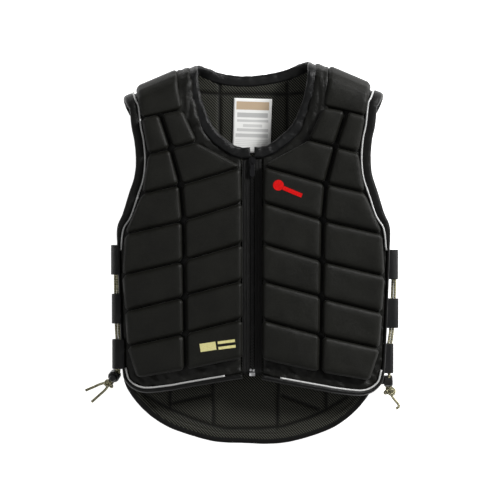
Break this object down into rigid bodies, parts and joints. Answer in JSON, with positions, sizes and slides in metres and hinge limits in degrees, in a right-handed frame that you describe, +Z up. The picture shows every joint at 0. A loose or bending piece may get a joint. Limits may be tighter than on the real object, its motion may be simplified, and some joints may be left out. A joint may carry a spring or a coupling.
{
  "type": "equestrian body protector",
  "caption": "Padded riding vest lying on its back: quilted foam pads on two zipped front halves, long back panel, webbing sleeves with elastic lacing down both sides.",
  "frame": {"origin": "On the floor under the middle of the vest's footprint, without the free cord ends", "axes": "+X to the right across the front as seen from above, +Y from the tail to the neck, +Z up out of the front"},
  "size_m": [0.4893, 0.5894, 0.0819],
  "materials": {
    "pad_fabric": "fine matt weave over foam, near black with an olive cast",
    "mesh_lining": "open knitted mesh, near black, with paler slanted dashes",
    "binding": "smooth black edge tape",
    "reflective_piping": "silver reflective piping",
    "webbing": "black ribbed webbing",
    "lacing_cord": "black braided elastic cord with cream flecks",
    "lock_plastic": "black moulded plastic",
    "zip_teeth": "black moulded zip teeth",
    "zip_metal": "dark plated metal",
    "label_cloth": "white woven cloth label, no print"
  },
  "bodies": {
    "vest": {"front_left_panel": "pad_fabric", "edge_binding_left": "binding", "piping_left": "reflective_piping", "pad_left_inner_1": "pad_fabric", "pad_left_outer_1": "pad_fabric", "pad_left_inner_2": "pad_fabric", "pad_left_outer_2": "pad_fabric", "pad_left_inner_3": "pad_fabric", "pad_left_outer_3": "pad_fabric", "pad_left_inner_4": "pad_fabric", "pad_left_outer_4": "pad_fabric", "pad_left_inner_5": "pad_fabric", "pad_left_outer_5": "pad_fabric", "pad_left_inner_6": "pad_fabric", "pad_left_outer_6": "pad_fabric", "pad_left_inner_7": "pad_fabric", "pad_left_outer_7": "pad_fabric", "shoulder_pad_left": "pad_fabric", "side_sleeve_left_1": "webbing", "side_sleeve_left_2": "webbing", "side_sleeve_left_3": "webbing", "lacing_cord_left": "lacing_cord", "cord_lock_left": "lock_plastic", "zip_tape_left": "binding", "front_right_panel": "pad_fabric", "edge_binding_right": "binding", "piping_right": "reflective_piping", "pad_right_inner_1": "pad_fabric", "pad_right_outer_1": "pad_fabric", "pad_right_inner_2": "pad_fabric", "pad_right_outer_2": "pad_fabric", "pad_right_inner_3": "pad_fabric", "pad_right_outer_3": "pad_fabric", "pad_right_inner_4": "pad_fabric", "pad_right_outer_4": "pad_fabric", "pad_right_inner_5": "pad_fabric", "pad_right_outer_5": "pad_fabric", "pad_right_inner_6": "pad_fabric", "pad_right_outer_6": "pad_fabric", "pad_right_inner_7": "pad_fabric", "pad_right_outer_7": "pad_fabric", "shoulder_pad_right": "pad_fabric", "side_sleeve_right_1": "webbing", "side_sleeve_right_2": "webbing", "side_sleeve_right_3": "webbing", "lacing_cord_right": "lacing_cord", "cord_lock_right": "lock_plastic", "zip_tape_right": "binding", "back_panel": "mesh_lining", "back_binding": "binding", "neck_binding": "binding", "zip_chain": "zip_teeth", "zip_slider": "zip_metal", "cord_tail_left_a": "lacing_cord", "cord_tail_left_b": "lacing_cord", "cord_tail_right": "lacing_cord", "label": "label_cloth"},
    "pull": {"zip_pull": "zip_metal"},
    "button_left": {"lock_button_left": "lock_plastic"},
    "button_right": {"lock_button_right": "lock_plastic"}
  },
  "joints": [
    {"name": "zip_pull_swing", "type": "hinge", "parent": "vest", "child": "pull", "pos_m": [-0.0005, 0.1423, 0.0688], "axis": [-1, 0, 0], "range_deg": [0, 150]},
    {"name": "left_button_press", "type": "slide", "parent": "vest", "child": "button_left", "axis": [0.2388, 0.3582, -0.9026], "range_m": [0, 0.0036], "stiffness_N_per_m": 300},
    {"name": "right_button_press", "type": "slide", "parent": "vest", "child": "button_right", "axis": [0.9987, 0.0452, 0.0216], "range_m": [0, 0.0036], "stiffness_N_per_m": 300}
  ]
}
